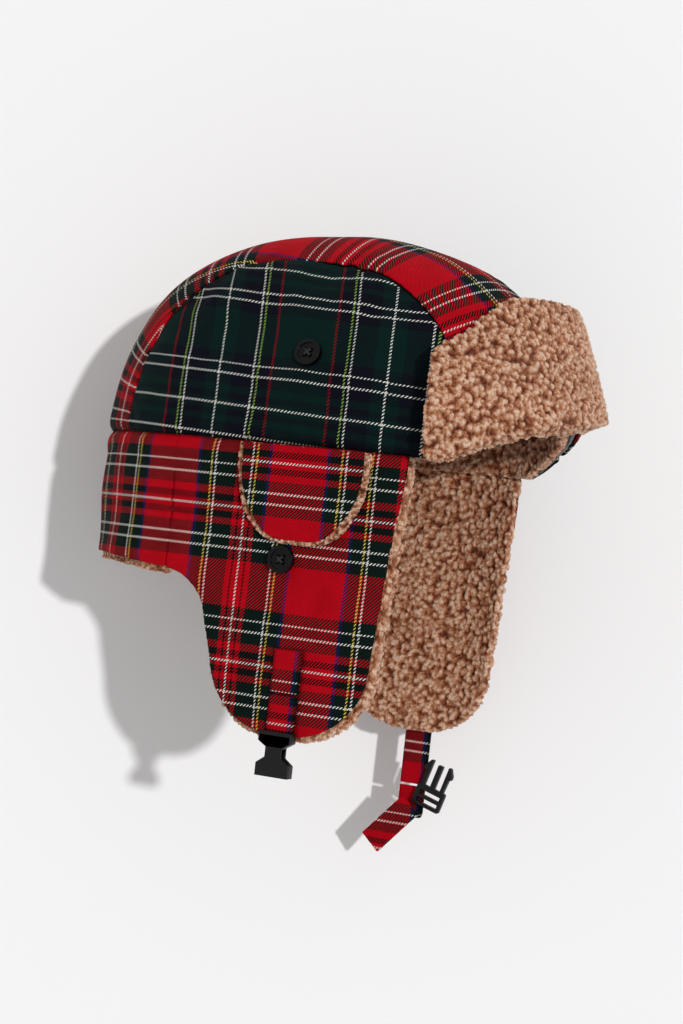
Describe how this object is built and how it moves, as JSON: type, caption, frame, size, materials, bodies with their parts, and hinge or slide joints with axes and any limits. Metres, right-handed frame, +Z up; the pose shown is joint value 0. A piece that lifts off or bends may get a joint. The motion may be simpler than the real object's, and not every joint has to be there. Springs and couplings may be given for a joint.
{
  "type": "trapper hat",
  "caption": "Tartan trapper hat with a turned-up sherpa visor, ear flaps with buttoned ear covers and a side-release chin strap.",
  "frame": {"origin": "middle of the head opening, at the height of the seam between crown and band", "axes": "+X to the wearer's front, +Y to the wearer's left, +Z up through the crown"},
  "size_m": [0.2454, 0.1734, 0.3039],
  "materials": {
    "tartan_red": "woven twill",
    "tartan_green": "woven twill",
    "sherpa_tan": "curly pile",
    "lining_black": "quilted satin",
    "buckle_black": "matte",
    "button_black": "polished"
  },
  "bodies": {
    "crown": {"crown_lining": "lining_black", "crown_center_panel": "tartan_red", "crown_side_panel_right": "tartan_green", "crown_side_panel_left": "tartan_green", "brow_facing": "sherpa_tan", "neck_shell": "tartan_red", "neck_pile": "sherpa_tan", "button_upper_right": "button_black", "button_upper_left": "button_black"},
    "visor": {"visor_pile": "sherpa_tan", "visor_shell": "tartan_red"},
    "ear_flap_right": {"ear_flap_pile_right": "sherpa_tan", "ear_flap_shell_right": "tartan_red", "button_lower_right": "button_black", "strap_anchor_right": "tartan_red"},
    "ear_cover_right": {"ear_cover_pile_right": "sherpa_tan", "ear_cover_shell_right": "tartan_red"},
    "ear_flap_left": {"ear_flap_pile_left": "sherpa_tan", "ear_flap_shell_left": "tartan_red", "button_lower_left": "button_black", "strap_anchor_left": "tartan_red"},
    "ear_cover_left": {"ear_cover_pile_left": "sherpa_tan", "ear_cover_shell_left": "tartan_red"},
    "strap_right": {"strap_right": "tartan_red", "buckle_socket": "buckle_black"},
    "strap_left": {"strap_left": "tartan_red"},
    "buckle_plug": {"buckle_plug": "buckle_black", "strap_loop": "tartan_red", "strap_tail": "tartan_red"}
  },
  "joints": [
    {"name": "visor_fold", "type": "hinge", "parent": "crown", "child": "visor", "pos_m": [0.1185, 0, 0.0175], "axis": [0, 1, 0], "range_deg": [0, 100]},
    {"name": "ear_flap_right_fold", "type": "hinge", "parent": "crown", "child": "ear_flap_right", "pos_m": [0.014, -0.085, -0.0015], "axis": [-1, 0, 0], "range_deg": [-15, 170]},
    {"name": "ear_flap_left_fold", "type": "hinge", "parent": "crown", "child": "ear_flap_left", "pos_m": [0.014, 0.085, -0.0015], "axis": [1, 0, 0], "range_deg": [-15, 170]},
    {"name": "ear_cover_right_open", "type": "hinge", "parent": "ear_flap_right", "child": "ear_cover_right", "pos_m": [0.02, -0.0855, -0.0052], "axis": [1, 0, 0], "range_deg": [-170, 0]},
    {"name": "ear_cover_left_open", "type": "hinge", "parent": "ear_flap_left", "child": "ear_cover_left", "pos_m": [0.02, 0.0855, -0.0052], "axis": [-1, 0, 0], "range_deg": [-170, 0]},
    {"name": "strap_right_swing", "type": "hinge", "parent": "ear_flap_right", "child": "strap_right", "pos_m": [0.023, -0.0814, -0.1128], "axis": [1, 0, 0], "range_deg": [-100, 0]},
    {"name": "strap_left_swing", "type": "hinge", "parent": "ear_flap_left", "child": "strap_left", "pos_m": [0.023, 0.0814, -0.1128], "axis": [-1, 0, 0], "range_deg": [-100, 0]},
    {"name": "buckle_plug_swing", "type": "hinge", "parent": "strap_left", "child": "buckle_plug", "pos_m": [0.023, 0.0814, -0.1623], "axis": [1, 0, 0], "range_deg": [0, 60]}
  ]
}
